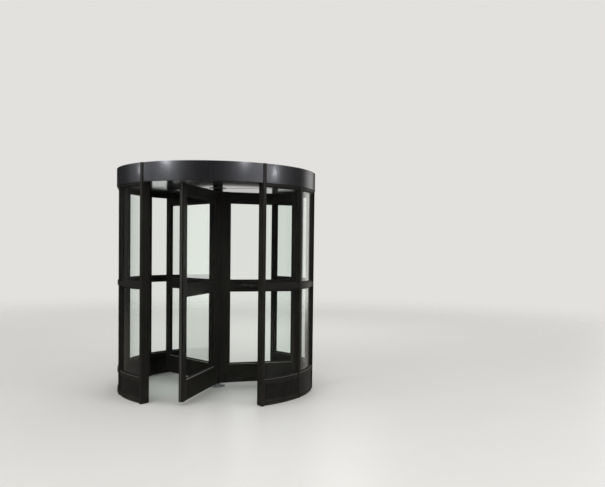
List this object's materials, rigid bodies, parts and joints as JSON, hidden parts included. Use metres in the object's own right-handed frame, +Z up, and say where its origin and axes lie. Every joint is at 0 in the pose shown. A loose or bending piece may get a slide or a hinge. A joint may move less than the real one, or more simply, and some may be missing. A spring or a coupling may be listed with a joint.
{
  "type": "revolving door",
  "caption": "Manual revolving door: a round glazed drum with open front and rear, and framed glass wings that turn on a centre shaft.",
  "frame": {"origin": "centre of the drum on the floor, on the shaft's axis", "axes": "+Z up along the shaft, -Y out through the front opening, +X to the right seen from the front"},
  "size_m": [2.0756, 2.0758, 2.28],
  "materials": {
    "black_metal": "satin black powder coat",
    "charcoal_metal": "semi-gloss charcoal coat",
    "ceiling_metal": "satin grey coat",
    "kick_panel": "semi-gloss black coat",
    "clear_glass": "clear",
    "seal_rubber": "matt",
    "push_bar_metal": "satin dark coat",
    "bearing_steel": "brushed"
  },
  "bodies": {
    "drum": {"left_front_post": "black_metal", "left_rear_post": "black_metal", "right_front_post": "black_metal", "right_rear_post": "black_metal", "left_mullions": "black_metal", "right_mullions": "black_metal", "left_base_rails": "black_metal", "right_base_rails": "black_metal", "left_kick_panels": "kick_panel", "right_kick_panels": "kick_panel", "left_sill_rails": "black_metal", "right_sill_rails": "black_metal", "left_midrails": "black_metal", "right_midrails": "black_metal", "left_top_rails": "black_metal", "right_top_rails": "black_metal", "left_lower_glass": "clear_glass", "right_lower_glass": "clear_glass", "left_upper_glass": "clear_glass", "right_upper_glass": "clear_glass", "front_fascia": "charcoal_metal", "rear_fascia": "charcoal_metal", "left_fascia": "charcoal_metal", "right_fascia": "charcoal_metal", "ceiling": "ceiling_metal", "top_cover": "charcoal_metal", "top_bearing": "bearing_steel", "floor_bearing": "bearing_steel"},
    "rotor": {"centre_shaft": "black_metal", "shaft_collar": "black_metal", "wing_1_stiles": "black_metal", "wing_1_rails": "black_metal", "wing_1_glass": "clear_glass", "wing_1_push_bar": "push_bar_metal", "wing_1_seal": "seal_rubber", "wing_2_stiles": "black_metal", "wing_2_rails": "black_metal", "wing_2_glass": "clear_glass", "wing_2_push_bar": "push_bar_metal", "wing_2_seal": "seal_rubber", "wing_3_stiles": "black_metal", "wing_3_rails": "black_metal", "wing_3_glass": "clear_glass", "wing_3_push_bar": "push_bar_metal", "wing_3_seal": "seal_rubber"}
  },
  "joints": [
    {"name": "rotor_spin", "type": "hinge", "parent": "drum", "child": "rotor", "pos_m": [0, 0, 0], "axis": [0, 0, 1], "continuous": true}
  ]
}
